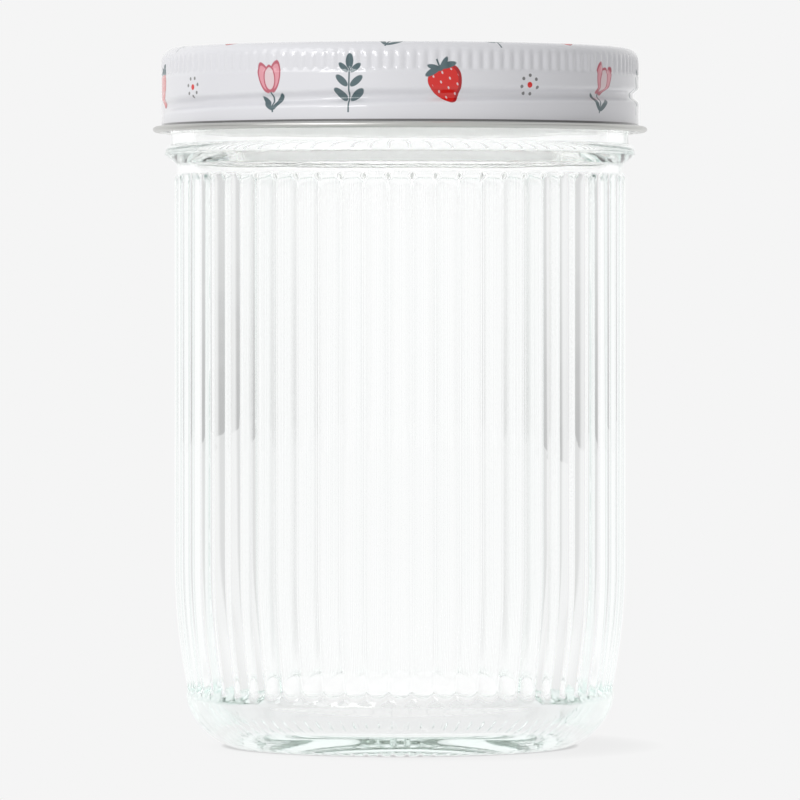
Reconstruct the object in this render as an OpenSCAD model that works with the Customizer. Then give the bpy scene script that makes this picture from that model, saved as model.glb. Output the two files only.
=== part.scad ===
// Ribbed glass jam pot with a two-piece screw closure.
// Millimetres, +Z up, origin at the middle of the base.

/* [Jar body] */
// Height of the glass from the base to the sealing rim
jar_h = 125; // [115:0.5:150]
// Radius over the rib crests on the straight wall
crest_r = 40.8; // [39:0.1:43]
// Glass between the bottom of a rib valley and the inside
wall_t = 2.4; // [1.8:0.1:2.8]
// Height at which the straight wall starts to curve in
heel_z = 33.5; // [32:0.5:36]
// Radius of the curve of the lower wall
heel_r = 115; // [105:1:130]
// How far the plain heel stands out from the line of the ribs
heel_step = 0.5; // [0.3:0.05:0.6]
// Radius of the plain heel below the ribs
foot_r = 11.5; // [11.2:0.1:13]
// Radius of the curve from the inner wall to the inner floor
floor_r = 8; // [6:0.5:10]
// Height of the inner floor
floor_z = 6.5; // [5.5:0.1:8]
// Rise of the hollow under the base
push_up = 2.5; // [1.5:0.1:3.5]
// Width of the flat ring that the jar stands on
bearing_w = 2; // [1.5:0.1:3]
// Number of grip grooves across the bearing ring
bearing_count = 80; // [60:1:90]
// Radius of a bearing groove
bearing_cut_r = 0.45; // [0.3:0.05:0.6]

/* [Ribs] */
// Number of ribs round the jar
rib_count = 60; // [58:1:62]
// Radius of the rounded face of a rib
rib_r = 2.6; // [2.5:0.05:3]
// Width of the plain strip along a rib crest
rib_land = 0.8; // [0.6:0.05:1]
// Height of the top of the ribs below the rim
rib_top_drop = 21.65; // [21:0.05:26]
// Height of the bottom of the ribs
rib_bottom_z = 8.7; // [8.2:0.1:10]

/* [Neck] */
// How far the plain ring above the ribs lies inside their crests
ring_step = 0.5; // [0.4:0.05:0.6]
// How far the neck under the thread stands out past the crests
neck_out = 0.55; // [0.45:0.05:0.7]
// How far the neck bead stands out past the neck
bead_out = 1.15; // [0.8:0.05:1.5]
// Height of the rounded upper side of the neck bead
bead_over = 1.9; // [1.4:0.1:2.1]
// Height of the sloping underside of the neck bead
bead_under = 1.7; // [1.2:0.1:1.9]
// Depth of the widest part of the bead below the rim
bead_drop = 18.15; // [17.8:0.05:18.6]
// Radius that rounds the edges of the sealing rim
rim_round = 1.2; // [0.8:0.1:1.4]

/* [Thread] */
// Rise of the thread in one turn
thread_pitch = 4.6; // [4.4:0.1:5]
// Turns of thread on the glass
glass_turns = 1.3; // [1.1:0.1:1.5]
// Depth of the upper end of the glass thread below the rim
thread_drop = 3.2; // [3:0.1:3.6]
// How far the glass thread stands out from the neck
thread_h = 1.05; // [0.95:0.05:1.15]
// Half the width of the glass thread at its root
root_half = 1.2; // [1:0.05:1.3]
// Half the width of the glass thread at its crest
crest_half = 0.55; // [0.4:0.05:0.65]
// Turns of thread rolled into the band
band_turns = 1; // [0.9:0.05:1.05]
// Depth of the thread rolled into the band
roll_depth = 1.05; // [0.95:0.05:1.1]
// Half the width of the rolled thread at the outside of the band
roll_mouth_half = 1.15; // [1:0.05:1.2]
// Half the width of the rolled thread at its deepest
roll_tip_half = 0.35; // [0.3:0.05:0.45]
// Gap between the two threads when the band is tight
thread_gap = 0.3; // [0.25:0.05:0.4]

/* [Closure] */
// Thickness of the tinplate
sheet_t = 0.25; // [0.22:0.01:0.3]
// Gap between the glass thread and the inside of the band
band_gap = 0.48; // [0.4:0.02:0.6]
// Height of the whole band
band_h = 15.5; // [15.2:0.1:16]
// Radius of the rounded top edge of the band
band_round = 1.9; // [1.7:0.1:2.1]
// Width of the flange over the disc
flange_w = 5.6; // [5:0.1:6.5]
// Outer radius of the rolled edge
curl_r = 0.92; // [0.8:0.02:1]
// Slit between the rolled edge and the skirt
curl_slit = 0.2; // [0.15:0.01:0.25]
// Number of grip ridges round the band
knurl_count = 136; // [130:1:140]
// Height of the grip ridges
knurl_relief = 0.25; // [0.2:0.01:0.3]
// Rounding radius of a grip ridge
knurl_r = 0.7; // [0.6:0.02:0.8]
// Depth of the top of the grip ridges below the top of the band
knurl_drop = 1.4; // [1.2:0.1:1.6]
// Length of the grip ridges
knurl_len = 3.5; // [3.3:0.1:3.7]
// Thickness of the sealing ring
seal_t = 0.45; // [0.4:0.05:0.6]
// Width of the sealing ring
seal_w = 3; // [2.7:0.1:3.3]
// Gap between the disc and the inside of the band
disc_gap = 0.6; // [0.5:0.05:0.7]
// Rounding radius of the edge of the disc
disc_round = 1.2; // [1.1:0.05:1.3]
// Length of the straight turned-down edge of the disc
disc_edge = 0.4; // [0.3:0.05:0.5]
// Rise of the panel in the middle of the disc
panel_rise = 0.3; // [0.2:0.02:0.4]
// Gap between the panel and the flange
panel_gap = 1; // [0.8:0.1:1.4]
// Gap between the flange of the band and the disc
flange_gap = 0.05; // [0.03:0.01:0.08]

/* [Hidden] */
$fn = 96;

// Every cut runs past the surface that it starts from by this much
overrun = 1;
// Steps of a wall's long curve, of a rounding in an outline, and of one turn of a thread
wall_steps = 6;
arc_steps = 6;
turn_steps = 60;
// Length that a groove across the bearing ring reaches past it on each side
bearing_reach = 3;
// Share of a thread's turns over which each end fades out
fade_share = 0.06;
// How far below its surface a fading thread starts, as a share of its height
start_share = 0.05;
// Share of the crest strip that the tool for a rib valley leaves on each side
valley_edge_share = 0.3;

// Ribs: half the distance between two crests, and the depth of the valley between them
half_pitch = crest_r * sin(180 / rib_count);
reed_drop = sqrt(pow(rib_r, 2) - pow(rib_land / 2, 2));
rib_depth = reed_drop - sqrt(pow(rib_r, 2) - pow(half_pitch, 2));
valley_half = half_pitch - rib_land * valley_edge_share;

// Jar: centre of the curve of the lower wall, as radius and height
heel_c = [crest_r - heel_r, heel_z];
inner_t = rib_depth + wall_t;
inner_r = crest_r - inner_t;
ring_r = crest_r - ring_step;
neck_r = crest_r + neck_out;
rib_top_z = jar_h - rib_top_drop;
bead_z = jar_h - bead_drop;
// Angle on the heel curve at which the ribs end
heel_turn = asin((heel_c[1] - rib_bottom_z) / heel_r);
foot_c = heel_c + (heel_r + heel_step - foot_r) * [cos(heel_turn), -sin(heel_turn)];
foot_turn = asin(foot_c[1] / foot_r);
// A valley ends in the rounded step below the ring, and in the step above the plain heel
valley_high_z = rib_top_z - ring_step / 2;
valley_turn = heel_turn + atan(heel_step / heel_r) / 2;
bearing_r = foot_c[0] + foot_r * cos(foot_turn);
bearing_in_r = bearing_r - bearing_w;

// Closure: the band fits round the glass thread, and the disc fits in the band
thread_r = neck_r + thread_h;
band_r = thread_r + band_gap + sheet_t;
grip_r = band_r - knurl_relief;
disc_z = jar_h + seal_t;
band_top = disc_z + sheet_t + flange_gap + sheet_t;
band_low = band_top - band_h;
disc_r = grip_r - sheet_t - disc_gap;
flange_in_r = band_r - flange_w;
panel_r = flange_in_r - panel_gap;
knurl_top = band_top - knurl_drop;
knurl_low = knurl_top - knurl_len;
curl_c = [band_r - sheet_t + curl_r, band_low + curl_r];

// Thread: the rolled thread ends under the grip ridges, and pulls up on the underside of the glass thread
roll_flank = (roll_mouth_half - roll_tip_half) / roll_depth;
roll_widening = sheet_t * sqrt(1 + pow(roll_flank, 2));
roll_r = band_r - roll_depth;
roll_high_z = knurl_low - roll_mouth_half - sheet_t / 2;
roll_low_z = roll_high_z - band_turns * thread_pitch;
roll_low_a = 180;
mesh_rise = crest_half + roll_half(thread_r) + thread_gap;
glass_high_z = jar_h - thread_drop;
glass_low_z = glass_high_z - glass_turns * thread_pitch;
glass_low_a = roll_low_a + 360 * (glass_low_z - mesh_rise - roll_low_z) / thread_pitch;

// Half the width of the rolled thread's metal at a radius
function roll_half(r) = roll_tip_half + roll_widening + (r - roll_r) * roll_flank;

// Points along a curve that turns downwards from the level of its centre
function curve(c, r, from, to, steps) =
    [for (i = [0 : steps]) let (a = from + (to - from) * i / steps) c + r * [cos(a), -sin(a)]];

// Outside of the jar from the top of the ribs down to the middle of the base
function outer_wall() = concat(
    curve(heel_c, heel_r, 0, heel_turn, wall_steps),
    curve(foot_c, foot_r, heel_turn + atan(heel_step / foot_r), foot_turn, arc_steps),
    [for (i = [0 : arc_steps]) let (s = i / arc_steps) [bearing_in_r * (1 - s), push_up * s * (2 - s)]]
);

// Inside of the jar from the middle of the floor up to the straight wall
function inner_wall() = let (
    reach = heel_r - inner_t - floor_r,
    turn = asin((heel_z - floor_r - floor_z) / reach)
) reverse(concat(
    curve(heel_c, heel_r - inner_t, 0, turn, wall_steps),
    curve(heel_c + reach * [cos(turn), -sin(turn)], floor_r, turn, 90, arc_steps),
    [[0, floor_z]]
));

function reverse(list) = [for (i = [len(list) - 1 : -1 : 0]) list[i]];

// Rounded edges, the neck bead and the step at the top of the ribs
function neck() = concat(
    curve([inner_r + rim_round, jar_h - rim_round], rim_round, -180, -90, arc_steps),
    curve([neck_r - rim_round, jar_h - rim_round], rim_round, -90, 0, arc_steps),
    [for (i = [arc_steps : -1 : 0]) let (a = 90 * i / arc_steps)
        [neck_r + bead_out * cos(a), bead_z + bead_over * sin(a)]],
    [[ring_r, bead_z - bead_under]],
    curve([ring_r, rib_top_z - ring_step], ring_step, -90, 0, arc_steps / 2)
);

// Cross-section of the cut between two ribs: x runs across it and y stands out from the crests
module valley_section() {
    difference() {
        translate([-valley_half, -rib_r]) square([2 * valley_half, rib_r + overrun]);
        for (side = [-1, 1]) translate([side * half_pitch, -reed_drop]) circle(rib_r);
    }
}

// The same section turned so that x stands out from the crests
module valley_outward() {
    rotate(-90) valley_section();
}

// A valley runs down the straight wall and along the curve of the lower wall
module valley() {
    translate([0, 0, heel_z]) linear_extrude(valley_high_z - heel_z)
        translate([crest_r, 0]) valley_outward();
    translate([heel_c[0], 0, heel_c[1]]) rotate([-90, 0, 0])
        rotate_extrude(angle = valley_turn) translate([heel_r, 0]) valley_outward();
}

// Grooves across the ring that the jar stands on, which run out on the curves beside it
module bearing_cuts() {
    for (i = [0 : bearing_count - 1]) rotate((i + 1 / 2) * 360 / bearing_count)
        translate([bearing_in_r - bearing_reach, 0, 0]) rotate([0, 90, 0])
            cylinder(r = bearing_cut_r, h = bearing_w + 2 * bearing_reach);
}

// A thread with a four-cornered section, winding upwards counter-clockwise and fading out at both ends.
// It grows from base_r, shows from face_r on, and is widest at its mouth and narrowest at its tip.
module wound_thread(base_r, face_r, tip_r, base_half, tip_half, low, low_a, turns) {
    rings = ceil(turns * turn_steps);
    side = sign(tip_r - base_r);
    points = [for (i = [0 : rings]) let (
            share = i / rings,
            fade = min(1, min(share, 1 - share) / fade_share) * (1 + start_share) - start_share,
            r = face_r + (tip_r - face_r) * fade,
            a = low_a + 360 * turns * share,
            z = low + thread_pitch * turns * share
        ) for (p = [[base_r, -side * base_half], [r, -side * tip_half], [r, side * tip_half],
            [base_r, side * base_half]]) [p[0] * cos(a), p[0] * sin(a), z + p[1]]];
    sides = [for (i = [0 : rings - 1], j = [0 : 3]) let (a = 4 * i + j, b = 4 * i + (j + 1) % 4)
        each [[a, b, b + 4], [a, b + 4, a + 4]]];
    last = 4 * rings;
    ends = [[0, 2, 1], [0, 3, 2], [last, last + 1, last + 2], [last, last + 2, last + 3]];
    polyhedron(points, concat(sides, ends));
}

module glass_jar() {
    color([0.86, 0.91, 0.9, 0.55]) union() {
        difference() {
            rotate_extrude() polygon(concat(outer_wall(), inner_wall(), neck()));
            for (i = [0 : rib_count - 1]) rotate((i + 1 / 2) * 360 / rib_count) valley();
            bearing_cuts();
        }
        wound_thread(neck_r - thread_h / 2, neck_r, thread_r, root_half, crest_half,
            glass_low_z, glass_low_a, glass_turns);
    }
}

// The disc: a raised panel, a flat channel over the rim, and a rounded turned-down edge
module lid_disc() {
    step_r = panel_r + panel_rise;
    top = disc_z + sheet_t;
    edge_c = [disc_r - disc_round, top - disc_round];
    color([0.83, 0.83, 0.85]) rotate_extrude() polygon(concat(
        [[0, top + panel_rise], [panel_r, top + panel_rise], [step_r, top]],
        curve(edge_c, disc_round, -90, 0, arc_steps),
        [[disc_r, edge_c[1] - disc_edge], [disc_r - sheet_t, edge_c[1] - disc_edge]],
        curve(edge_c, disc_round - sheet_t, 0, -90, arc_steps),
        [[step_r, disc_z], [panel_r, disc_z + panel_rise], [0, disc_z + panel_rise]]
    ));
}

// Flat ring of sealing compound between the rim and the disc
module sealing_ring() {
    seal_r = disc_r - disc_round;
    color([0.93, 0.92, 0.88]) translate([0, 0, jar_h]) difference() {
        cylinder(r = seal_r, h = seal_t);
        translate([0, 0, -overrun]) cylinder(r = seal_r - seal_w, h = seal_t + 2 * overrun);
    }
}

// Section of the band: flange, rounded corner, grip zone, skirt
module band_section() {
    round_c = [grip_r - band_round, band_top - band_round];
    polygon(concat(
        [[flange_in_r, band_top]],
        curve(round_c, band_round, -90, 0, arc_steps),
        [[grip_r, knurl_low + knurl_relief], [band_r, knurl_low], [band_r, curl_c[1]],
            [band_r - sheet_t, curl_c[1]], [band_r - sheet_t, knurl_low - sheet_t / 2],
            [grip_r - sheet_t, knurl_low + knurl_relief - sheet_t / 2]],
        curve(round_c, band_round - sheet_t, 0, -90, arc_steps),
        [[flange_in_r, band_top - sheet_t]]
    ));
}

// Section of the rolled edge, open at a slit beside the skirt
module curl_section() {
    translate(curl_c) difference() {
        circle(curl_r);
        circle(curl_r - sheet_t);
        translate([sheet_t - curl_r, 0]) square([curl_slit, curl_r]);
    }
}

// Section through the grip ridges, each rooted in the middle of the sheet
module grip_section() {
    difference() {
        for (i = [0 : knurl_count - 1]) rotate(i * 360 / knurl_count)
            translate([grip_r + knurl_relief - knurl_r, 0]) circle(knurl_r);
        circle(grip_r - sheet_t / 2);
    }
}

module screw_band() {
    color([0.82, 0.82, 0.84]) difference() {
        union() {
            rotate_extrude() {
                band_section();
                curl_section();
            }
            translate([0, 0, knurl_low]) linear_extrude(knurl_len) grip_section();
            wound_thread(band_r - sheet_t / 2, band_r - sheet_t, roll_r - sheet_t,
                roll_half(band_r - sheet_t / 2), roll_half(roll_r - sheet_t),
                roll_low_z, roll_low_a, band_turns);
        }
        wound_thread(band_r + overrun, band_r, roll_r, roll_mouth_half + overrun * roll_flank, roll_tip_half,
            roll_low_z, roll_low_a, band_turns);
    }
}

glass_jar();
lid_disc();
sealing_ring();
screw_band();
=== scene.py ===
# Looks of a ribbed glass jam pot with a two-piece screw closure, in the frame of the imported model.
# Sizes of the pot are in millimetres, and every mesh is scaled to metres where it is made.
import math

import bpy
import numpy as np
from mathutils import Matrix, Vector


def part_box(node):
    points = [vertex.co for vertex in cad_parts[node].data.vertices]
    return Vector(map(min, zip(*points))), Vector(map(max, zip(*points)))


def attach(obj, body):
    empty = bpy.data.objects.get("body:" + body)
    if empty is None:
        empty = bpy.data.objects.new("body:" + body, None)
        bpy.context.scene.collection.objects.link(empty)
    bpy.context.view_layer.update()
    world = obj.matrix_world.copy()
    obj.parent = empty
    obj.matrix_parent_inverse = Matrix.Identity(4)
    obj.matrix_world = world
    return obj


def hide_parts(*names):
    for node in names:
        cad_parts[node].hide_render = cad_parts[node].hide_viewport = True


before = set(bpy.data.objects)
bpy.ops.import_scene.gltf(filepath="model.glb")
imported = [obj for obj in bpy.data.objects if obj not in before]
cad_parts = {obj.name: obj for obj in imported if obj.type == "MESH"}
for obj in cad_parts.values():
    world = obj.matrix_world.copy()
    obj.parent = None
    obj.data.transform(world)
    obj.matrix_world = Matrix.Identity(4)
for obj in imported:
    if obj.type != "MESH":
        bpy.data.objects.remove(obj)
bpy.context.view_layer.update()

MM = 0.001
TURN = 2 * math.pi

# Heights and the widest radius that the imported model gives, which the rolled edge stays just inside
INSET = 0.02
JAR_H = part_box("glass_jar")[1].z / MM
BAND_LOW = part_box("screw_band")[0].z / MM
BAND_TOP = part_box("screw_band")[1].z / MM
CURL_OUT = min(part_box("screw_band")[1].x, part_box("screw_band")[1].y) / MM - INSET

# Jar body: radius of the crests, the curve of the lower wall, the plain heel that stands out of it,
# the foot, the inner floor, the hollow under the base and the grooved ring that the jar stands on
CREST_R = 40.8
WALL_T = 2.4
HEEL_Z = 33.5
HEEL_R = 115
HEEL_STEP = 0.5
FOOT_R = 11.5
FLOOR_R = 8
FLOOR_Z = 5.5
PUSH_UP = 2.5
BEARING_W = 2
BEARING_COUNT = 80
BEARING_CUT_R = 0.45

# Unevenness of the inner wall. Each wave has a count round the jar, a rise in a radian, a start and
# a share of the depth. It fades in above the floor and out below the rim.
WAVE_DEPTH = 0.04
WAVES = ((5, 60, 0, 1), (9, -50, 0.7, 0.8), (17, 40, 2.1, 0.5))
WAVE_IN = 12
WAVE_OUT = 25

# Ribs: their round section, the flat on their crests, where they end, how soft the valleys are, and
# the lengths of the pockets that the valleys end in and of the lower ends of the crests
RIB_COUNT = 60
RIB_R = 2.6
RIB_LAND = 0.8
RIB_TOP_DROP = 21.65
RIB_BOTTOM_Z = 8.7
VALLEY_SOFT = 0.08
POCKET_TOP = 1.4
POCKET_LOW = 3
CREST_END = 2

# Neck: plain ring, bead, rim and thread. BEAD_EDGE and HOLD are the spacing of the rings that keep
# a corner crisp. The thread's root and crest are half widths.
RING_R = 40.3
NECK_R = 41.35
BEAD_R = 42.5
BEAD_DROP = 18.15
BEAD_OVER = 1.9
BEAD_UNDER = 1.7
BEAD_EDGE = 0.12
HOLD = 0.06
RIM_ROUND = 1.2
THREAD_PITCH = 4.6
THREAD_H = 1.05
THREAD_ROOT = 1.2
THREAD_CREST = 0.55
GLASS_TURNS = 1.3
GLASS_LOW_Z = 115.82
GLASS_LOW_A = math.radians(89)
FADE_SHARE = 0.06

# Band: sheet, rounded corner, grip ridges, rolled thread and rolled edge. The ridges fade in round
# KNURL_LOW and out round KNURL_TOP. The lacquer inside ends at BARE_FROM degrees round the roll.
SHEET_T = 0.25
BAND_R = 43.13
BAND_ROUND = 1.9
FLANGE_W = 5.6
KNURL_COUNT = 136
KNURL_RELIEF = 0.25
KNURL_SHARP = 0.7
KNURL_LOW = 121.1
KNURL_FADE = 0.7
KNURL_TOP = 124.3
KNURL_TOP_FADE = 2.2
ROLL_DEPTH = 1.05
ROLL_MOUTH = 1.45
ROLL_TIP = 0.3
ROLL_LOW_Z = 115.225
ROLL_LOW_A = math.pi
CURL_HALF_H = 0.58
CURL_LIFT = 0.35
BARE_FROM = 245

# Steps of the meshes: points across a rib and how they crowd to its valleys, points across a grip
# ridge, the rows at the two ends of the ribs and the rows round the rolled edge
RIB_STEPS = 16
VALLEY_CROWD = 0.5
KNURL_STEPS = 6
TOP_ROWS = (0, 0.02, 0.08, 0.17, 0.27, 0.36, 0.5, 0.7, 0.9, 1.15, 1.4, 1.7)
LOW_ROWS = (1.1, 0.9, 0.72, 0.55, 0.4, 0.28, 0.18, 0.09, 0.03, 0)
CURL_ROWS = (180, 200, 222, 245, 270, 292, 312, 332, 350, 368, 386, 404, 424, 446, 470, 492)

# Values worked out from the sizes
HALF_PITCH = CREST_R * math.sin(math.pi / RIB_COUNT)
REED_DROP = math.sqrt(RIB_R**2 - (RIB_LAND / 2) ** 2)
RIB_DEPTH = REED_DROP - math.sqrt(RIB_R**2 - HALF_PITCH**2)
INNER_T = RIB_DEPTH + WALL_T
INNER_R = CREST_R - INNER_T
RIM_Z = JAR_H - RIM_ROUND
RIB_TOP_Z = JAR_H - RIB_TOP_DROP
BEAD_Z = JAR_H - BEAD_DROP
HEEL_C = np.array([CREST_R - HEEL_R, HEEL_Z])
HEEL_TURN = math.asin((HEEL_Z - RIB_BOTTOM_Z) / HEEL_R)
FOOT_C = HEEL_C + (HEEL_R + HEEL_STEP - FOOT_R) * np.array(
    [math.cos(HEEL_TURN), -math.sin(HEEL_TURN)]
)
FOOT_TURN = math.asin(FOOT_C[1] / FOOT_R)
BEARING_R = FOOT_C[0] + FOOT_R * math.cos(FOOT_TURN)
BEARING_IN_R = BEARING_R - BEARING_W
GRIP_R = BAND_R - KNURL_RELIEF
FLANGE_IN_R = BAND_R - FLANGE_W


def smooth(x):
    """0 below 0, 1 above 1 and a smooth rise between."""
    x = np.clip(x, 0, 1)
    return x * x * (3 - 2 * x)


def smoother(x):
    """Like smooth, but with no sudden bend at either end."""
    x = np.clip(x, 0, 1)
    return x**3 * (x * (x * 6 - 15) + 10)


def round_end(x):
    """A quarter circle: rises steeply from 0 at 0 and arrives level at 1."""
    return np.sqrt(1 - (1 - np.clip(x, 0, 1)) ** 2)


def to_nearest(angle, count, offset):
    """Angle to the nearest of count equal marks round the circle, the first of them at offset."""
    step = TURN / count
    return np.abs((angle - offset + step / 2) % step - step / 2)


def arc(centre, radius, start, end, steps, first=0):
    """Points of an outline along an arc that turns downwards, and the directions out of its centre.

    first=1 leaves out the starting point, where the outline already is."""
    for a in np.linspace(start, end, steps + 1)[first:]:
        out = np.array([math.cos(a), -math.sin(a)])
        yield centre + radius * out, out


def helix_bump(angle, z, low_z, low_a, turns, root, tip):
    """Height from 0 to 1 of a thread with sloping sides, which fades out at both ends."""
    best = np.zeros(len(angle))
    for wrap in range(math.ceil(turns) + 1):
        turned = ((angle - low_a) % TURN) / TURN + wrap
        share = turned / turns
        fade = smooth(np.minimum(share, 1 - share) / FADE_SHARE)
        off = np.abs(z - (low_z + THREAD_PITCH * turned))
        best = np.maximum(best, smooth((root - off) / (root - tip)) * fade)
    return best


class Lathe:
    """A surface of rings, from one end of an outline to the other.

    A ring may have any whole share of the finest ring's points, and a ring of one point closes the
    surface on the axis."""

    def __init__(self, angles):
        self.angles = angles
        self.points = []
        self.rings = []
        self.marks = []

    def add(self, points, mark):
        self.rings.append((sum(len(p) for p in self.points), len(points)))
        self.points.append(points)
        self.marks.append(mark)

    def ring(self, r, z, stride=1, mark=0):
        """Adds a ring. r and z are numbers or functions of the angle, mark is a material's slot."""
        angle = self.angles[::stride]
        r = r(angle) if callable(r) else np.full(len(angle), float(r))
        z = z(angle) if callable(z) else np.full(len(angle), float(z))
        self.add(np.stack([r * np.cos(angle), r * np.sin(angle), z], 1), mark)

    def pole(self, z):
        """Adds a ring of one point on the axis."""
        self.add(np.array([[0.0, 0.0, z]]), 0)

    @staticmethod
    def edge(first, count, i, faces):
        """The points of a ring that face i of faces has, where the ring's own start at first."""
        if count == 1:
            return [first]
        return [first + k % count for k in range(i * count // faces, (i + 1) * count // faces + 1)]

    def faces(self):
        """Faces between each two rings in turn, and for each the mark of the first of the two."""
        faces, marks = [], []
        for (a, count_a), (b, count_b), mark in zip(self.rings, self.rings[1:], self.marks):
            few, many = sorted((count_a, count_b))
            between = many if few == 1 else few
            for i in range(between):
                faces.append(
                    self.edge(b, count_b, i, between) + self.edge(a, count_a, i, between)[::-1]
                )
                marks.append(mark)
        return faces, marks

    def build(self, name):
        mesh = bpy.data.meshes.new(name)
        faces, marks = self.faces()
        mesh.from_pydata((np.concatenate(self.points) * MM).tolist(), [], faces)
        mesh.polygons.foreach_set("use_smooth", [True] * len(faces))
        mesh.polygons.foreach_set("material_index", marks)
        mesh.update()
        piece = bpy.data.objects.new(name, mesh)
        bpy.context.scene.collection.objects.link(piece)
        return piece


# Glass jar


def rib_angles():
    """Angles round the jar, closer together in the valleys than on the crests."""
    share = np.arange(RIB_COUNT * RIB_STEPS) / RIB_STEPS
    return (share + VALLEY_CROWD * np.sin(TURN * share) / TURN) * TURN / RIB_COUNT


def rib_valley(angle, r):
    """Depth of the ribbed surface below its crests."""
    from_valley = r * to_nearest(angle, RIB_COUNT, math.pi / RIB_COUNT)
    across = np.maximum(HALF_PITCH - np.sqrt(from_valley**2 + VALLEY_SOFT**2), RIB_LAND / 2)
    return REED_DROP - np.sqrt(RIB_R**2 - across**2)


def inner_wall(jar):
    """From the middle of the floor up to the rim, a little uneven as blown glass is."""
    reach = HEEL_R - INNER_T - FLOOR_R
    turn = math.asin((HEEL_Z - FLOOR_R - FLOOR_Z) / reach)
    corner = HEEL_C + reach * np.array([math.cos(turn), -math.sin(turn)])

    def uneven(r, z):
        fade = float(smooth((z - FLOOR_Z) / WAVE_IN) * smooth((JAR_H - z) / WAVE_OUT))
        return lambda a: r + WAVE_DEPTH * fade * sum(
            share * np.sin(count * a + z / rise + start) for count, rise, start, share in WAVES
        )

    jar.pole(FLOOR_Z)
    for share in np.linspace(0, 1, 7)[1:]:
        jar.ring(corner[0] * share, FLOOR_Z, stride=4)
    for point, _ in arc(corner, FLOOR_R, math.pi / 2, turn, steps=10, first=1):
        jar.ring(uneven(*point), point[1], stride=4)
    for point, _ in arc(HEEL_C, HEEL_R - INNER_T, turn, 0, steps=8, first=1):
        jar.ring(uneven(*point), point[1], stride=4)
    for z in np.linspace(HEEL_Z, RIM_Z, 31)[1:]:
        jar.ring(uneven(INNER_R, z), z, stride=4)
    centre = np.array([INNER_R + RIM_ROUND, RIM_Z])
    for point, _ in arc(centre, RIM_ROUND, -math.pi, -math.pi / 2, steps=5, first=1):
        jar.ring(*point, stride=4)


def neck(jar):
    """From the rim down over the thread, the bead and the plain ring."""

    def threaded(z):
        return lambda a: NECK_R + THREAD_H * helix_bump(
            a, z, GLASS_LOW_Z, GLASS_LOW_A, GLASS_TURNS, THREAD_ROOT, THREAD_CREST
        )

    for point, _ in arc(
        np.array([NECK_R - RIM_ROUND, RIM_Z]), RIM_ROUND, -math.pi / 2, 0, steps=5
    ):
        jar.ring(*point, stride=2)
    for z in np.linspace(RIM_Z, GLASS_LOW_Z - THREAD_ROOT, 34)[1:]:
        jar.ring(threaded(z), z, stride=2)
    for above in (2 * HOLD, HOLD):
        jar.ring(NECK_R, BEAD_Z + BEAD_OVER + above)
    for turn in np.linspace(math.pi / 2, 0, 12):
        jar.ring(
            NECK_R + (BEAD_R - NECK_R) * math.cos(turn), BEAD_Z + BEAD_OVER * math.sin(turn)
        )
    outer = np.array([BEAD_R, BEAD_Z])
    inner = np.array([RING_R, BEAD_Z - BEAD_UNDER])
    slope = (inner - outer) / math.hypot(*(inner - outer))
    for step in (1, 2):
        jar.ring(*(outer + step * BEAD_EDGE * slope))
    for step in (2, 1):
        jar.ring(*(inner - step * BEAD_EDGE * slope))
    for step in (1, 2):
        jar.ring(RING_R, inner[1] - step * BEAD_EDGE)


def ribbed_wall(jar):
    """Ribs that start in rounded pockets under the ring and end in rounded pockets at the heel."""
    ring_step = CREST_R - RING_R

    def top(angle, drop):
        out = ring_step - rib_valley(angle, CREST_R)
        crest = np.maximum(out, 0) * round_end(drop / ring_step)
        pocket = np.minimum(out, 0) * smooth((drop - ring_step / 2) / POCKET_TOP)
        return RING_R + crest + pocket

    for drop in (-2 * HOLD, -HOLD, *TOP_ROWS):
        jar.ring(lambda a, drop=drop: top(a, drop), RIB_TOP_Z - drop)
    for z in np.linspace(RIB_TOP_Z - TOP_ROWS[-1], HEEL_Z, 7)[1:]:
        jar.ring(lambda a: top(a, POCKET_TOP + ring_step), z)

    def low(angle, turn):
        valley = rib_valley(angle, HEEL_C[0] + HEEL_R * math.cos(turn))
        above = (HEEL_TURN - turn) * HEEL_R
        reach = CREST_END + (POCKET_LOW - CREST_END) * np.clip(valley / RIB_DEPTH, 0, 1)
        return HEEL_R + HEEL_STEP - (HEEL_STEP + valley) * smoother(above / reach)

    ends = HEEL_TURN - POCKET_LOW * np.array(LOW_ROWS) / HEEL_R
    for turn in [*np.linspace(0, ends[0], 11)[1:-1], *ends]:
        jar.ring(
            lambda a, turn=turn: HEEL_C[0] + low(a, turn) * math.cos(turn),
            lambda a, turn=turn: HEEL_C[1] - low(a, turn) * math.sin(turn),
        )


def foot(jar):
    """The plain heel, the grooved ring that the jar stands on and the hollow under the base."""

    def grooved(r, z):
        def height(angle):
            off = r * to_nearest(angle, BEARING_COUNT, math.pi / BEARING_COUNT)
            return np.maximum(z, np.sqrt(np.maximum(BEARING_CUT_R**2 - off**2, 0)))

        return height

    def hollow(share):
        """Radius and height at a share of the way from the grooved ring to the axis."""
        return BEARING_IN_R * (1 - share), PUSH_UP * share * (2 - share)

    for point, _ in arc(FOOT_C, FOOT_R, HEEL_TURN, FOOT_TURN, steps=16, first=1):
        jar.ring(point[0], grooved(*point))
    for share in (0.5, 1):
        r = BEARING_R - BEARING_W * share
        jar.ring(r, grooved(r, 0))
    for share in (0.04, 0.08, 0.12):
        r, z = hollow(share)
        jar.ring(r, grooved(r, z))
    for share in (0.2, 0.3, 0.45, 0.65, 0.85):
        jar.ring(*hollow(share), stride=4)
    jar.pole(PUSH_UP)


def make_jar():
    jar = Lathe(rib_angles())
    inner_wall(jar)
    neck(jar)
    ribbed_wall(jar)
    foot(jar)
    return jar.build("jar_glass")


# Screw band

# Slots of the outside of the sheet, and how many slots further the inside has its own
PAINTED, BARE = 0, 1
INSIDE = 2


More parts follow.
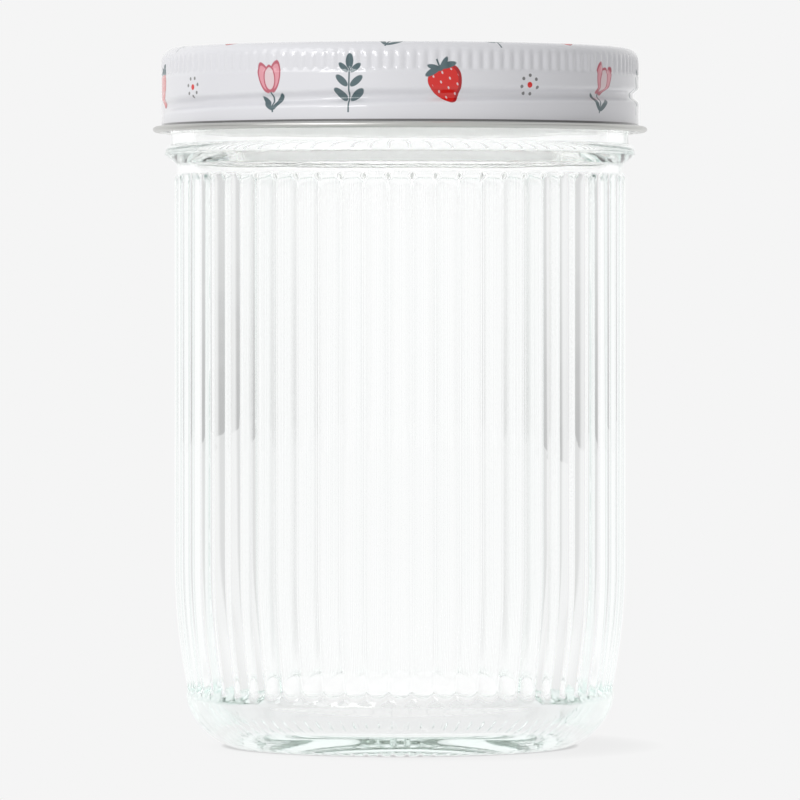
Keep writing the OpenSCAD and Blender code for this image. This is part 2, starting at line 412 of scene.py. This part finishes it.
def make_band():
    """The middle of the sheet, from the flange's edge to the end of the roll, then thickened."""
    points = KNURL_COUNT * KNURL_STEPS
    band = Lathe(np.arange(points) * TURN / points)
    half = SHEET_T / 2

    def ridges(z):
        fade_in = smooth((z - KNURL_LOW) / KNURL_FADE + 0.5)
        fade = fade_in * smooth((KNURL_TOP - z) / KNURL_TOP_FADE + 0.5)
        return lambda a: (
            KNURL_RELIEF * fade * (0.5 + 0.5 * np.cos(KNURL_COUNT * a)) ** KNURL_SHARP
        )

    def wall(z):
        step = KNURL_RELIEF * smooth((KNURL_LOW + KNURL_RELIEF - z) / (2 * KNURL_RELIEF))
        return lambda a: (
            GRIP_R - half + np.maximum(step, ridges(z)(a))
            - ROLL_DEPTH * helix_bump(a, z, ROLL_LOW_Z, ROLL_LOW_A, 1, ROLL_MOUTH, ROLL_TIP)
        )

    corner = np.array([GRIP_R - BAND_ROUND, BAND_TOP - BAND_ROUND])
    for share in (0, 0.03, 0.5):
        band.ring(FLANGE_IN_R + (corner[0] - FLANGE_IN_R) * share, BAND_TOP - half)
    for point, out in arc(corner, BAND_ROUND - half, -math.pi / 2, 0, steps=8):
        lift = ridges(point[1])
        band.ring(
            lambda a, point=point, out=out, lift=lift: point[0] + out[0] * lift(a),
            lambda a, point=point, out=out, lift=lift: point[1] + min(out[1], 0) * lift(a),
        )
    curl_half_w = (CURL_OUT - BAND_R + SHEET_T) / 2
    curl = np.array([BAND_R - SHEET_T + curl_half_w, BAND_LOW + CURL_LIFT + CURL_HALF_H])
    grip_rows = np.linspace(corner[1], KNURL_LOW + KNURL_RELIEF, 9)[1:]
    skirt_rows = np.linspace(KNURL_LOW + KNURL_RELIEF, curl[1] + CURL_HALF_H, 32)[1:]
    for z in [*grip_rows, *skirt_rows]:
        band.ring(wall(z), z)
    for degrees in CURL_ROWS:
        turn = math.radians(degrees)
        band.ring(
            curl[0] + (curl_half_w - half) * math.cos(turn),
            curl[1] + (CURL_HALF_H - half) * math.sin(turn),
            mark=PAINTED if degrees < BARE_FROM else BARE,
        )
    piece = band.build("printed_band")
    thick = piece.modifiers.new("sheet", "SOLIDIFY")
    thick.thickness = SHEET_T * MM
    thick.offset = 0
    thick.material_offset = INSIDE
    return piece


# Materials

# Colours, as linear red, green and blue
WHITE = (0.75, 0.75, 0.78)
LACQUER = (0.86, 0.86, 0.85)
RED = (0.67, 0.012, 0.008)
DARK_RED = (0.4, 0.002, 0.006)
PINK = (0.75, 0.33, 0.38)
DARK_PINK = (0.5, 0.12, 0.16)
PALE_PINK = (0.75, 0.6, 0.62)
SLATE = (0.08, 0.13, 0.145)
GREY = (0.2, 0.2, 0.2)
# Painted shade: a dark line for the crease between the band's skirt and its rolled edge
CREASE_SHADE = (0.18, 0.18, 0.18)
TINPLATE = (0.56, 0.56, 0.54)
COMPOUND = (0.72, 0.7, 0.62)
GLASS_TINT = (0.3, 0.85, 0.7)

# Print: its lower edge, cells round the band, height of a row on the band and on the disc, how
# motifs scatter, and where the print starts to bend over the band's top edge and for how far.
# The disc has more columns than show. PATTERN_START keeps what is counted above 0.
MARGIN_Z = 112.4
COLUMNS = 16
ROW_LOW = 0.3
ROW_H = 11.6
DISC_ROW_H = 13
DISC_COLUMNS = 60
PATTERN_START = 20
MOTIF_SIZE = 1.15
MOTIF_SHIFT = 3.5
MOTIF_TILT = 0.45
TILT_SPREAD = 5.3
OVER_EDGE_Z = 123.9
OVER_EDGE_H = 1.5


def material(name):
    made = bpy.data.materials.new(name)
    made.use_nodes = True
    nodes = made.node_tree.nodes
    return made, nodes, made.node_tree.links, nodes["Principled BSDF"]


def bump(nodes, links, shader, scale, distance):
    """Fine unevenness of a surface. scale is in features a metre, distance in metres."""
    where = nodes.new("ShaderNodeTexCoord")
    noise = nodes.new("ShaderNodeTexNoise")
    noise.inputs["Scale"].default_value = scale
    noise.inputs["Detail"].default_value = 2
    relief = nodes.new("ShaderNodeBump")
    relief.inputs["Strength"].default_value = 1
    relief.inputs["Distance"].default_value = distance
    links.new(where.outputs["Object"], noise.inputs["Vector"])
    links.new(noise.outputs["Fac"], relief.inputs["Height"])
    links.new(relief.outputs["Normal"], shader.inputs["Normal"])
    return noise


def uneven_finish(nodes, links, shader, scale, distance, smoothest, roughest):
    """Fine unevenness, with a roughness that varies with it."""
    noise = bump(nodes, links, shader, scale, distance)
    spread = nodes.new("ShaderNodeMapRange")
    spread.inputs["To Min"].default_value = smoothest
    spread.inputs["To Max"].default_value = roughest
    links.new(noise.outputs["Fac"], spread.inputs["Value"])
    links.new(spread.outputs["Result"], shader.inputs["Roughness"])


def glass_material():
    made, nodes, links, shader = material("clear_glass")
    shader.inputs["Base Color"].default_value = (1, 1, 1, 1)
    shader.inputs["Roughness"].default_value = 0
    shader.inputs["IOR"].default_value = 1.5
    shader.inputs["Transmission Weight"].default_value = 1
    bump(nodes, links, shader, scale=90, distance=0.000015)
    absorb = nodes.new("ShaderNodeVolumeAbsorption")
    absorb.inputs["Color"].default_value = (*GLASS_TINT, 1)
    absorb.inputs["Density"].default_value = 1.8
    links.new(absorb.outputs["Volume"], nodes["Material Output"].inputs["Volume"])
    return made


class Field:
    """A number that varies over a surface or the sky. Arithmetic on it adds Math nodes."""

    def __init__(self, tree, socket):
        self.tree = tree
        self.socket = socket

    def math(self, operation, *others):
        node = self.tree.nodes.new("ShaderNodeMath")
        node.operation = operation
        for socket, value in zip(node.inputs, (self, *others)):
            if isinstance(value, Field):
                self.tree.links.new(value.socket, socket)
            else:
                socket.default_value = value
        return Field(self.tree, node.outputs[0])

    def __add__(self, other):
        return self.math("ADD", other)

    def __sub__(self, other):
        return self.math("SUBTRACT", other)

    def __mul__(self, other):
        return self.math("MULTIPLY", other)

    def __truediv__(self, other):
        return self.math("DIVIDE", other)

    def __abs__(self):
        return self.math("ABSOLUTE")

    def least(self, other):
        return self.math("MINIMUM", other)

    def most(self, other):
        return self.math("MAXIMUM", other)


def place(tree, output):
    """The three coordinates of a surface, or of a direction into the sky."""
    where = tree.nodes.new("ShaderNodeTexCoord")
    split = tree.nodes.new("ShaderNodeSeparateXYZ")
    tree.links.new(where.outputs[output], split.inputs[0])
    return [Field(tree, split.outputs[axis]) for axis in "XYZ"]


def length(x, y):
    return (x * x + y * y).math("SQRT")


def ellipse(x, y, centre, half_w, half_h, tilt=0.0):
    """About the distance outside an ellipse. tilt turns it counter-clockwise, in degrees."""
    x, y = x - centre[0], y - centre[1]
    if tilt:
        c, s = math.cos(math.radians(tilt)), math.sin(math.radians(tilt))
        x, y = x * c + y * s, y * c - x * s
    return (length(x / half_w, y / half_h) - 1) * min(half_w, half_h)


def stalk(x, y, half_w, low, high):
    """Distance outside an upright line."""
    return (abs(x) - half_w).most(abs(y - (low + high) / 2) - (high - low) / 2)


class Print:
    """Colours laid over each other on a surface."""

    EDGE = 0.08
    COLOUR_A, COLOUR_B, COLOUR_OUT = 6, 7, 2

    def __init__(self, tree, ground):
        self.tree = tree
        self.colour = ground

    def lay(self, distance, colour, where=None):
        """Paints colour where distance is below 0. where is 0 or 1 and limits it."""
        mask = distance * (-1 / self.EDGE) + 0.5
        mask.socket.node.use_clamp = True
        if where is not None:
            mask = mask * where
        mix = self.tree.nodes.new("ShaderNodeMix")
        mix.data_type = "RGBA"
        self.tree.links.new(mask.socket, mix.inputs["Factor"])
        for number, value in ((self.COLOUR_A, self.colour), (self.COLOUR_B, colour)):
            if isinstance(value, tuple):
                mix.inputs[number].default_value = (*value, 1)
            else:
                self.tree.links.new(value, mix.inputs[number])
        self.colour = mix.outputs[self.COLOUR_OUT]


# Each motif draws itself round 0, 0 in millimetres, where here is 1.


def strawberry(ink, x, y, here):
    seed_w, seed_h, seed_centre = 1.5, 1.25, (0.75, 0.62)
    narrowing = y * 0.13 + 1
    body = ellipse(x / narrowing, y, (0, 0), 2.5, 3)
    ink.lay(body, DARK_RED, here)
    ink.lay(ellipse((x + 0.25) / narrowing, y, (0, 0.1), 2.2, 2.8), RED, here)
    row = (y / seed_h).math("FLOOR")
    across = (x / seed_w + row * 0.5 + PATTERN_START).math("FRACT") * seed_w
    up = (y / seed_h + PATTERN_START).math("FRACT") * seed_h
    seed = ellipse(across, up, seed_centre, 0.13, 0.22)
    ink.lay(seed.most(body + 0.45), PALE_PINK, here)
    side = abs(x)
    flat_leaf = ellipse(side, y, (1.2, 2.6), 1.4, 0.5, -8)
    leaves = flat_leaf.least(ellipse(side, y, (0.75, 3.0), 1.2, 0.42, 40))
    ink.lay(leaves.least(stalk(x, y, 0.14, 2.6, 4.1)), SLATE, here)


def sprig(ink, x, y, here):
    side = abs(x)
    leaves = stalk(x, y, 0.12, -4.3, 3.2).least(ellipse(x, y, (0, 3.5), 0.6, 1.2))
    for low, size in ((-2.2, 1.0), (-0.1, 0.9), (1.9, 0.75)):
        centre = (1.25 * size, low + 0.6)
        leaves = leaves.least(ellipse(side, y, centre, 1.35 * size, 0.58 * size, 42))
    ink.lay(leaves, SLATE, here)


def tulip(ink, x, y, here):
    side = abs(x)
    outer = ellipse(side, y, (0.95, 1.2), 1.0, 2.5, -14)
    inner = ellipse(x, y, (0, 1.0), 1.05, 2.1)
    ink.lay(stalk(x, y, 0.14, -4.2, -0.8), SLATE, here)
    ink.lay(ellipse(side, y, (1.0, -2.7), 1.5, 0.42, 50), SLATE, here)
    ink.lay(outer, DARK_PINK, here)
    ink.lay(outer + 0.22, PINK, here)
    ink.lay(inner, DARK_PINK, here)
    ink.lay(inner + 0.2, PALE_PINK, here)


def dot_ring(ink, x, y, here):
    dots, ring_r, dot_r, middle_r = 7, 1.45, 0.27, 0.45
    turn = (y.math("ARCTAN2", x) / TURN * dots + PATTERN_START).math("FRACT") - 0.5
    away = length(x, y)
    ink.lay(length(turn * (ring_r * TURN / dots), away - ring_r) - dot_r, GREY, here)
    ink.lay(away - middle_r, RED, here)


MOTIFS = (strawberry, sprig, tulip, dot_ring)


def pattern(tree, ground, u, v, columns, cell_w, row_h):
    """A staggered pattern of motifs on ground.

    u counts cells along a row and v is the height in millimetres. Cells repeat after columns."""
    row = (v / row_h).math("FLOOR")
    along = u + row * 0.5
    column = along.math("FLOOR").math("FLOORED_MODULO", columns)
    cell = tree.nodes.new("ShaderNodeCombineXYZ")
    tree.links.new(column.socket, cell.inputs["X"])
    tree.links.new(row.socket, cell.inputs["Y"])
    random = tree.nodes.new("ShaderNodeTexWhiteNoise")
    random.noise_dimensions = "2D"
    tree.links.new(cell.outputs[0], random.inputs["Vector"])
    chance = Field(tree, random.outputs["Value"])
    x = ((along.math("FRACT") - 0.5) * cell_w + (chance - 0.5) * MOTIF_SHIFT) / MOTIF_SIZE
    y = ((v / row_h).math("FRACT") - 0.5) * row_h / MOTIF_SIZE
    tilt = (chance * TILT_SPREAD).math("FRACT") * (2 * MOTIF_TILT) - MOTIF_TILT
    c, s = tilt.math("COSINE"), tilt.math("SINE")
    x, y = x * c + y * s, y * c - x * s
    kind = (column * 3 + row * 2).math("FLOORED_MODULO", len(MOTIFS))
    ink = Print(tree, ground)
    for number, motif in enumerate(MOTIFS):
        motif(ink, x, y, kind.math("COMPARE", number, 0.5))
    return ink.colour


def band_print(tree, x, y, z):
    """The pattern round the band and its top edge, with painted crease shade below the print."""
    over_edge = ((z - OVER_EDGE_Z) / OVER_EDGE_H).most(0).least(1)
    height = z - MARGIN_Z + (length(x, y) * -1 + BAND_R) * over_edge
    turn = y.math("ARCTAN2", x) / TURN + 0.5
    cell_w = TURN * BAND_R / COLUMNS
    colour = pattern(tree, WHITE, turn * COLUMNS, height - ROW_LOW, COLUMNS, cell_w, ROW_H)
    ink = Print(tree, colour)
    # Painted shade: a dark line in the crease just above the rolled edge, below the print
    ink.lay(z - MARGIN_Z, CREASE_SHADE)
    return ink.colour


def disc_print(tree, x, y, z):
    """The pattern across the top of the disc, with lacquer on what faces down."""
    cell_w = TURN * BAND_R / COLUMNS
    u = x / cell_w + PATTERN_START
    v = y + PATTERN_START * DISC_ROW_H
    colour = pattern(tree, WHITE, u, v, DISC_COLUMNS, cell_w, DISC_ROW_H)
    facing = tree.nodes.new("ShaderNodeNewGeometry")
    split = tree.nodes.new("ShaderNodeSeparateXYZ")
    tree.links.new(facing.outputs["Normal"], split.inputs[0])
    ink = Print(tree, colour)
    ink.lay(Field(tree, split.outputs["Z"]) + 0.3, LACQUER)
    return ink.colour


def painted_material(name, printed):
    """Print under a thin clear coat. printed makes the colour at a place in millimetres."""
    made, nodes, links, shader = material(name)
    shader.inputs["Coat Weight"].default_value = 0.9
    shader.inputs["Coat Roughness"].default_value = 0.05
    shader.inputs["Specular IOR Level"].default_value = 0.25
    tree = made.node_tree
    x, y, z = (axis / MM for axis in place(tree, "Object"))
    links.new(printed(tree, x, y, z), shader.inputs["Base Color"])
    uneven_finish(nodes, links, shader, 700, 0.00001, 0.3, 0.4)
    return made


def plain_material(name, colour, scale, distance, smoothest, roughest, metallic=0):
    """One colour, with the unevenness and the roughness of its finish."""
    made, nodes, links, shader = material(name)
    shader.inputs["Base Color"].default_value = (*colour, 1)
    shader.inputs["Metallic"].default_value = metallic
    uneven_finish(nodes, links, shader, scale, distance, smoothest, roughest)
    return made


# Studio: places are in metres and levels of light are linear. x goes to the right and y away from
# the camera. Directions are parts of a unit vector.

# Levels of the back as the camera sees it, and in the glass: behind the jar, on the side of the
# camera, and on the dark boards above and below the horizon
BACKDROP = 0.913
GLASS_BACK = 1.03
GLASS_FRONT = 0.88
GLASS_SIDE = 0.7
GLASS_LOW = 0.5

# Boards: their inner and outer edges as shares sideways, how soft these are, how much of a board
# there is beyond the outer edge, and the heights between which the boards get lighter and between
# which they end. TO_FRONT is where the level of the back gives way to that of the front.
FLAG_IN = 0.78
FLAG_OUT = 0.92
FLAG_SOFT = 0.1
FLAG_EDGE = 0.03
FLAG_REST = 0.35
FLAG_HORIZON = (-0.022, 0.012)
FLAG_TOP = (0.06, 0.12)
TO_FRONT = (0.1, -0.2)

# Light on the closure, from the back, the top and the front: between which directions each rises
# and to what. Then how much of it the paint and reflections get, the least that they get, and how
# much of the light on the paint is left to the right.
SOFT_BACK = (0.2, 0.6, 0, 1)
SOFT_TOP = (0.3, 0.7, 0, 0.9)
SOFT_FRONT = (-0.5, -0.9, 0, 0.55)
PAINT_SOFT, PAINT_LEAST = 0.8, 0.22
MIRROR_SOFT, MIRROR_LEAST = 0.5, 0.45
TO_RIGHT = (-0.1, 0.7, 1, 0.35)

# Light on what is lit through the glass: seen through one wall, through both, and in a reflection.
# WALLS counts passes through a surface of the glass, from the one to the other.
NEAR_GAIN = 1.3
FAR_GAIN = 3.6
DEEP_GAIN = 5
WALLS = (4, 7)

# Floor: its half width, its level in the glass from the near side to the far side, what the boards
# leave of that and from how far out, and the reach and depth of the contact shadow and of the
# shadow beside the jar, on the side away from SHADOW_FROM
FLOOR_HALF = 2.25
FLOOR_IN_GLASS = (-0.02, 0.04, 0.85, 1.01)
FLOOR_FLAG = 0.72
FLOOR_FLAG_FROM = (0.08, 0.2)
CONTACT_SHADOW = (0.0007, 0.35)
SIDE_SHADOW = (0.012, 0.13)
SHADOW_FROM = (-1, -0.1, 0.15)

# Lamps: name, watts, width, height and place. They point at LAMP_AIM.
LAMPS = (
    ("key", 5, 0.9, 0.9, (-1.1, -0.9, 0.9)),
    ("window", 4.5, 0.6, 0.4, (-0.69, -1.33, 0.5)),
)
LAMP_AIM = Vector((0, 0, 0.1))

# Camera: place, tilt below the horizon and focal length as a share of the picture's width
EYE = Vector((0, -1.254, 0.083))
EYE_PITCH = math.radians(0.934)
LENS_SHARE = 6930 / 800

LIGHT_BOUNCES = 48


def ramp(source, low, high, to_low, to_high):
    """A smooth change from to_low to to_high while source goes from low to high."""
    node = source.tree.nodes.new("ShaderNodeMapRange")
    node.interpolation_type = "SMOOTHSTEP"
    sockets = ("From Min", "From Max", "To Min", "To Max")
    for name, value in zip(sockets, (low, high, to_low, to_high)):
        node.inputs[name].default_value = value
    source.tree.links.new(source.socket, node.inputs["Value"])
    return Field(source.tree, node.outputs["Result"])


def choose(factor, off, on):
    """off where factor is 0 and on where it is 1."""
    return (off - on) * (factor * -1 + 1) + on


def flag(x, y):
    """1 on the dark boards left and right behind the jar, FLAG_REST beyond them, 0 elsewhere."""
    aside = abs(x) / length(x, y)
    inner = ramp(aside, FLAG_IN - FLAG_SOFT, FLAG_IN, 0, 1)
    outer = ramp(aside, FLAG_OUT, FLAG_OUT + FLAG_EDGE, 1, FLAG_REST)
    return inner * outer * ramp(y, 0, 0.01, 0, 1)


def inside_gain(path):
    """More light on what is lit through the glass, such as the inside of the closure."""
    gain = ramp(path("Transmission Depth"), *WALLS, NEAR_GAIN, FAR_GAIN)
    gain = (gain * -1 + DEEP_GAIN) * path("Glossy Depth").least(1) + gain - 1
    return path("Diffuse Depth").least(1) * path("Is Transmission Ray") * gain + 1


def light_path(tree):
    """Looks up what kind of ray arrives."""
    node = tree.nodes.new("ShaderNodeLightPath")
    return lambda output: Field(tree, node.outputs[output])


def make_world():
    """One even level to the camera, and one sky each for the glass, the paint and reflections."""
    world = bpy.data.worlds.new("studio")
    world.use_nodes = True
    bpy.context.scene.world = world
    tree = world.node_tree
    tree.nodes.clear()
    x, y, z = place(tree, "Generated")
    path = light_path(tree)

    board = ramp(z, *FLAG_HORIZON, GLASS_LOW, GLASS_SIDE) - GLASS_BACK
    in_glass = board * flag(x, y) * ramp(z, *FLAG_TOP, 1, 0) + GLASS_BACK
    in_glass = in_glass.least(ramp(y, *TO_FRONT, GLASS_BACK, GLASS_FRONT)) * inside_gain(path)
    soft = ramp(y, *SOFT_BACK).most(ramp(z, *SOFT_TOP)).most(ramp(y, *SOFT_FRONT))
    on_paint = (soft * PAINT_SOFT + PAINT_LEAST) * ramp(x, *TO_RIGHT)
    level = choose(path("Is Glossy Ray"), on_paint, soft * MIRROR_SOFT + MIRROR_LEAST)
    level = choose(path("Is Transmission Ray"), level, in_glass)
    level = choose(path("Is Camera Ray"), level, BACKDROP)

    sky = tree.nodes.new("ShaderNodeBackground")
    out = tree.nodes.new("ShaderNodeOutputWorld")
    tree.links.new(level.socket, sky.inputs["Color"])
    tree.links.new(sky.outputs[0], out.inputs["Surface"])


def shadow(tree, reach, depth, towards):
    """1 in the open and down to 1 - depth where something within reach stands towards a side."""
    node = tree.nodes.new("ShaderNodeAmbientOcclusion")
    node.samples = 16
    node.inputs["Distance"].default_value = reach
    normal = tree.nodes.new("ShaderNodeCombineXYZ")
    for socket, value in zip(normal.inputs, towards):
        socket.default_value = value
    tree.links.new(normal.outputs[0], node.inputs["Normal"])
    return Field(tree, node.outputs["AO"]) * depth + (1 - depth)


def make_floor():
    """A glowing floor of the backdrop's level, with a contact shadow and one beside the jar."""
    mesh = bpy.data.meshes.new("floor")
    corners = [(x * FLOOR_HALF, y * FLOOR_HALF, 0) for x, y in ((-1, -1), (1, -1), (1, 1), (-1, 1))]
    mesh.from_pydata(corners, [], [(0, 1, 2, 3)])
    floor = bpy.data.objects.new("floor", mesh)
    bpy.context.scene.collection.objects.link(floor)
    made = bpy.data.materials.new("pale_floor")
    made.use_nodes = True
    tree = made.node_tree
    tree.nodes.clear()
    x, y, _ = place(tree, "Object")
    path = light_path(tree)

    contact = shadow(tree, *CONTACT_SHADOW, (0, 0, 1))
    shaded = contact * shadow(tree, *SIDE_SHADOW, SHADOW_FROM) * BACKDROP
    flagged = flag(x, y) * ramp(length(x, y), *FLOOR_FLAG_FROM, 0, 1)
    in_glass = ramp(y, *FLOOR_IN_GLASS) * (flagged * (FLOOR_FLAG - 1) + 1) * inside_gain(path)
    level = (shaded - in_glass) * path("Is Camera Ray") + in_glass

    glow = tree.nodes.new("ShaderNodeEmission")
    out = tree.nodes.new("ShaderNodeOutputMaterial")
    tree.links.new(level.socket, glow.inputs["Color"])
    tree.links.new(glow.outputs[0], out.inputs["Surface"])
    mesh.materials.append(made)


def make_lamp(name, watts, width, height, where):
    light = bpy.data.lights.new(name, "AREA")
    light.shape = "RECTANGLE"
    light.energy = watts
    light.size = width
    light.size_y = height
    lamp = bpy.data.objects.new(name, light)
    lamp.location = where
    lamp.rotation_euler = (LAMP_AIM - lamp.location).to_track_quat("-Z", "Y").to_euler()
    lamp.visible_transmission = False
    bpy.context.scene.collection.objects.link(lamp)


def make_camera():
    camera = bpy.data.cameras.new("camera")
    camera.sensor_width = 36
    camera.lens = camera.sensor_width * LENS_SHARE
    camera.clip_end = 20
    eye = bpy.data.objects.new("camera", camera)
    eye.location = EYE
    eye.rotation_euler = (math.pi / 2 - EYE_PITCH, 0, 0)
    bpy.context.scene.collection.objects.link(eye)
    bpy.context.scene.camera = eye


def set_look():
    scene = bpy.context.scene
    scene.view_settings.view_transform = "Standard"
    scene.cycles.use_denoising = True
    scene.cycles.max_bounces = LIGHT_BOUNCES
    scene.cycles.transmission_bounces = LIGHT_BOUNCES
    scene.cycles.glossy_bounces = LIGHT_BOUNCES


def dress(piece, *materials):
    """Gives a piece its materials, and leaves its faces the slots that they have."""
    slots = piece.data.materials
    for slot, made in enumerate(materials):
        if slot < len(slots):
            slots[slot] = made
        else:
            slots.append(made)


make_camera()
set_look()
make_world()
make_floor()
for lamp_row in LAMPS:
    make_lamp(*lamp_row)

jar = make_jar()
dress(jar, glass_material())
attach(jar, "jar")
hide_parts("glass_jar")

band = make_band()
bare = plain_material("bare_tinplate", TINPLATE, 900, 0.000003, 0.28, 0.36, metallic=1)
lacquer = plain_material("inner_lacquer", LACQUER, 700, 0.00001, 0.35, 0.45)
dress(band, painted_material("band_print", band_print), bare, lacquer, bare)
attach(band, "band")
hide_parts("screw_band")

compound = plain_material("sealing_compound", COMPOUND, 500, 0.00003, 0.5, 0.65)
dress(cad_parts["lid_disc"], painted_material("disc_print", disc_print))
dress(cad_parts["sealing_ring"], compound)
